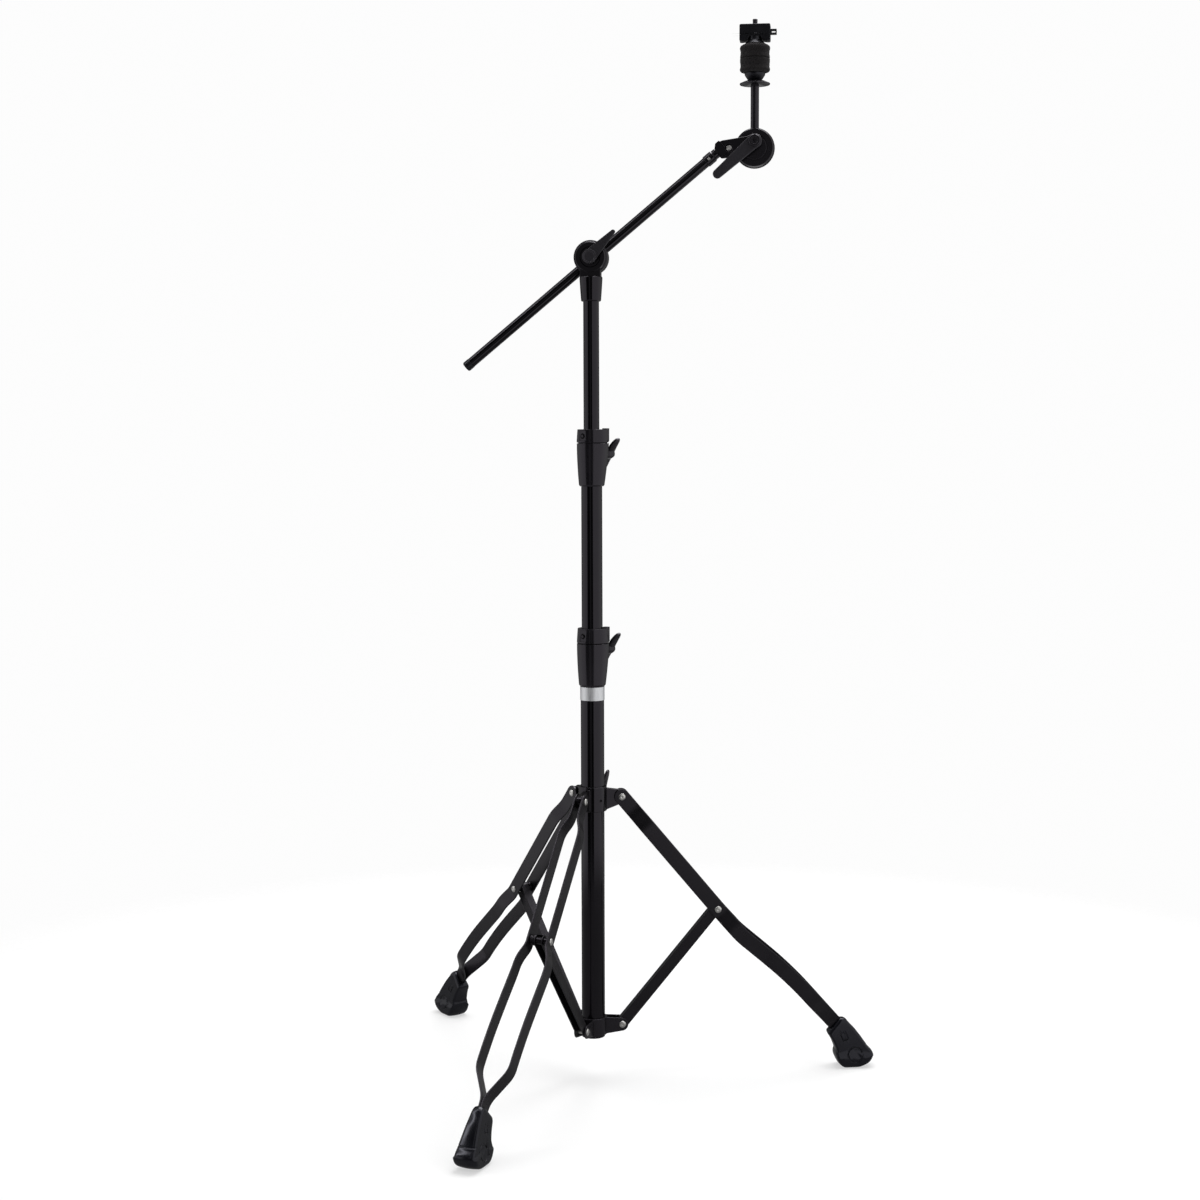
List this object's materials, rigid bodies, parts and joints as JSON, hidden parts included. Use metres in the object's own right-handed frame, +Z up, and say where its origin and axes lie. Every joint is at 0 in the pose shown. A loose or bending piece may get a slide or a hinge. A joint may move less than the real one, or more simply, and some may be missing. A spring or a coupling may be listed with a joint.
{
  "type": "boom cymbal stand",
  "caption": "Free-standing boom cymbal stand in gloss black plated steel, with a folding double-braced tripod, telescoping mast and tilting boom arm.",
  "frame": {"origin": "on the floor, at the middle of the part's footprint", "axes": "+Z up along the mast; the boom leans out along +X"},
  "size_m": [0.598, 0.607, 1.2804],
  "materials": {
    "black_plating": "gloss black plating",
    "rubber": "semi-gloss moulded rubber",
    "bright_steel": "bright zinc-plated steel",
    "nylon": "black nylon",
    "silver_band": "satin silver foil",
    "black_plastic": "semi-gloss black plastic",
    "felt": "pressed dark wool felt"
  },
  "bodies": {
    "base": {"base_tube": "black_plating", "label_band": "silver_band", "brace_collar": "black_plating", "lower_joint_housing": "black_plating", "brace_a_low_rivet": "bright_steel", "brace_b_low_rivet": "bright_steel", "brace_c_low_rivet": "bright_steel"},
    "leg_collar": {"leg_collar": "black_plating"},
    "collar_screw": {"leg_collar_wing_screw": "black_plating"},
    "lower_screw": {"lower_wing_screw": "black_plating"},
    "lower_lock": {"lower_memory_lock": "black_plating"},
    "lower_key": {"lower_lock_key_screw": "black_plating"},
    "lower_turn": {"lower_bushing": "nylon"},
    "mid": {"mid_tube": "black_plating", "upper_joint_housing": "black_plating"},
    "upper_screw": {"upper_wing_screw": "black_plating"},
    "upper_lock": {"upper_memory_lock": "black_plating"},
    "upper_key": {"upper_lock_key_screw": "black_plating"},
    "upper_turn": {"upper_bushing": "nylon"},
    "top": {"upper_tube": "black_plating", "boom_tilter_base": "black_plating"},
    "boom_head": {"boom_tilter_disc": "black_plating", "boom_eye_bolt": "black_plating"},
    "tilt_lever": {"boom_tilter_lever": "black_plating"},
    "boom": {"boom_rod": "black_plating", "boom_end_cap": "black_plastic", "boom_set_screw": "bright_steel", "cymbal_tilter_bracket": "black_plating", "bracket_screw": "bright_steel", "cymbal_tilter_bolt": "black_plating"},
    "cymbal_lever": {"cymbal_tilter_lever": "black_plating"},
    "cymbal_stem": {"cymbal_tilter_stem": "black_plating"},
    "seat": {"cup_washer": "black_plating", "cymbal_seat": "black_plastic"},
    "felt_low": {"lower_felt": "felt"},
    "felt_high": {"upper_felt": "felt"},
    "nut": {"quick_release_nut": "black_plastic"},
    "button": {"release_button": "black_plastic"},
    "brace_a": {"brace_a": "black_plating"},
    "leg_a": {"leg_a_strap_left": "black_plating", "leg_a_strap_right": "black_plating", "leg_a_foot": "rubber", "leg_a_spacer": "black_plating", "leg_a_top_rivet": "bright_steel", "leg_a_mid_rivet": "bright_steel"},
    "brace_b": {"brace_b": "black_plating"},
    "leg_b": {"leg_b_strap_left": "black_plating", "leg_b_strap_right": "black_plating", "leg_b_foot": "rubber", "leg_b_spacer": "black_plating", "leg_b_top_rivet": "bright_steel", "leg_b_mid_rivet": "bright_steel"},
    "brace_c": {"brace_c": "black_plating"},
    "leg_c": {"leg_c_strap_left": "black_plating", "leg_c_strap_right": "black_plating", "leg_c_foot": "rubber", "leg_c_spacer": "black_plating", "leg_c_top_rivet": "bright_steel", "leg_c_mid_rivet": "bright_steel"}
  },
  "joints": [
    {"name": "tripod_fold", "type": "hinge", "parent": "base", "child": "brace_a", "pos_m": [-0.0129, 0.0465, 0.066], "axis": [0.2317, -0.9728, 0], "range_deg": [-8, 38]},
    {"name": "leg_a_mid_pivot", "type": "hinge", "parent": "brace_a", "child": "leg_a", "pos_m": [0.10208, 0.07389, 0.208], "axis": [0.2317, -0.9728, 0], "range_deg": [-76, 16]},
    {"name": "leg_a_top_pivot", "type": "hinge", "parent": "leg_a", "child": "leg_collar", "pos_m": [-0.0129, 0.0465, 0.35], "axis": [0.2317, -0.9728, 0], "range_deg": [-8, 38]},
    {"name": "leg_b_top_pivot", "type": "hinge", "parent": "leg_collar", "child": "leg_b", "pos_m": [-0.07149, 0.06397, 0.35], "axis": [0.7266, 0.6871, 0], "range_deg": [-38, 8]},
    {"name": "brace_b_low_pivot", "type": "hinge", "parent": "base", "child": "brace_b", "pos_m": [-0.07149, 0.06397, 0.066], "axis": [0.7266, 0.6871, 0], "range_deg": [-8, 38]},
    {"name": "leg_c_top_pivot", "type": "hinge", "parent": "leg_collar", "child": "leg_c", "pos_m": [-0.05733, 0.00449, 0.35], "axis": [-0.9583, 0.2857, 0], "range_deg": [-38, 8]},
    {"name": "brace_c_low_pivot", "type": "hinge", "parent": "base", "child": "brace_c", "pos_m": [-0.05733, 0.00449, 0.066], "axis": [-0.9583, 0.2857, 0], "range_deg": [-8, 38]},
    {"name": "collar_screw_turn", "type": "hinge", "parent": "leg_collar", "child": "collar_screw", "pos_m": [-0.04107, 0.05902, 0.349], "axis": [0.2857, 0.9583, 0], "continuous": true},
    {"name": "lower_screw_turn", "type": "hinge", "parent": "base", "child": "lower_screw", "pos_m": [-0.03252, 0.05586, 0.53], "axis": [0.6428, 0.766, 0], "continuous": true},
    {"name": "lower_mast_turn", "type": "hinge", "parent": "base", "child": "lower_turn", "pos_m": [-0.04724, 0.03832, 0.5199], "axis": [0, 0, 1], "continuous": true},
    {"name": "lower_mast_slide", "type": "slide", "parent": "lower_turn", "child": "mid", "axis": [0, 0, 1], "range_m": [-0.17, 0.2]},
    {"name": "lower_lock_slide", "type": "slide", "parent": "base", "child": "lower_lock", "axis": [0, 0, 1], "range_m": [0, 0.12]},
    {"name": "lower_key_turn", "type": "hinge", "parent": "lower_lock", "child": "lower_key", "pos_m": [-0.05607, 0.02498, 0.54835], "axis": [-0.5519, -0.8339, 0], "continuous": true},
    {"name": "upper_screw_turn", "type": "hinge", "parent": "mid", "child": "upper_screw", "pos_m": [-0.03252, 0.05586, 0.768], "axis": [0.6428, 0.766, 0], "continuous": true},
    {"name": "upper_mast_turn", "type": "hinge", "parent": "mid", "child": "upper_turn", "pos_m": [-0.04724, 0.03832, 0.7624], "axis": [0, 0, 1], "continuous": true},
    {"name": "upper_mast_slide", "type": "slide", "parent": "upper_turn", "child": "top", "axis": [0, 0, 1], "range_m": [-0.14, 0.17]},
    {"name": "upper_lock_slide", "type": "slide", "parent": "mid", "child": "upper_lock", "axis": [0, 0, 1], "range_m": [0, 0.12]},
    {"name": "upper_key_turn", "type": "hinge", "parent": "upper_lock", "child": "upper_key", "pos_m": [-0.05497, 0.02665, 0.78955], "axis": [-0.5519, -0.8339, 0], "continuous": true},
    {"name": "boom_tilt", "type": "hinge", "parent": "top", "child": "boom_head", "pos_m": [-0.04724, 0.05882, 1.002], "axis": [0, -1, 0], "range_deg": [-60, 40]},
    {"name": "tilt_lever_turn", "type": "hinge", "parent": "boom_head", "child": "tilt_lever", "pos_m": [-0.04724, 0.02802, 1.002], "axis": [0, -1, 0], "continuous": true},
    {"name": "boom_slide", "type": "slide", "parent": "boom_head", "child": "boom", "axis": [0.7716, 0, 0.6361], "range_m": [-0.15, 0.15]},
    {"name": "cymbal_lever_turn", "type": "hinge", "parent": "boom", "child": "cymbal_lever", "pos_m": [0.14676, 0.05132, 1.137], "axis": [0, -1, 0], "continuous": true},
    {"name": "cymbal_tilt", "type": "hinge", "parent": "boom", "child": "cymbal_stem", "pos_m": [0.14676, 0.06432, 1.137], "axis": [0, -1, 0], "range_deg": [-85, 60]},
    {"name": "seat_lift", "type": "slide", "parent": "cymbal_stem", "child": "seat", "axis": [0, 0, 1], "range_m": [0, 0.075]},
    {"name": "lower_felt_lift", "type": "slide", "parent": "seat", "child": "felt_low", "axis": [0, 0, 1], "range_m": [0, 0.065]},
    {"name": "upper_felt_lift", "type": "slide", "parent": "felt_low", "child": "felt_high", "axis": [0, 0, 1], "range_m": [0, 0.05]},
    {"name": "nut_lift", "type": "slide", "parent": "felt_high", "child": "nut", "axis": [0, 0, 1], "range_m": [0, 0.04]},
    {"name": "button_push", "type": "slide", "parent": "nut", "child": "button", "axis": [1, 0, 0], "range_m": [-0.0025, 0], "stiffness_N_per_m": 600}
  ],
  "couplings": [
    {"joint": "leg_a_mid_pivot", "follows": "tripod_fold", "ratio": -2},
    {"joint": "leg_a_top_pivot", "follows": "tripod_fold", "ratio": 1},
    {"joint": "leg_b_top_pivot", "follows": "tripod_fold", "ratio": -1},
    {"joint": "brace_b_low_pivot", "follows": "tripod_fold", "ratio": 1},
    {"joint": "leg_c_top_pivot", "follows": "tripod_fold", "ratio": -1},
    {"joint": "brace_c_low_pivot", "follows": "tripod_fold", "ratio": 1}
  ]
}
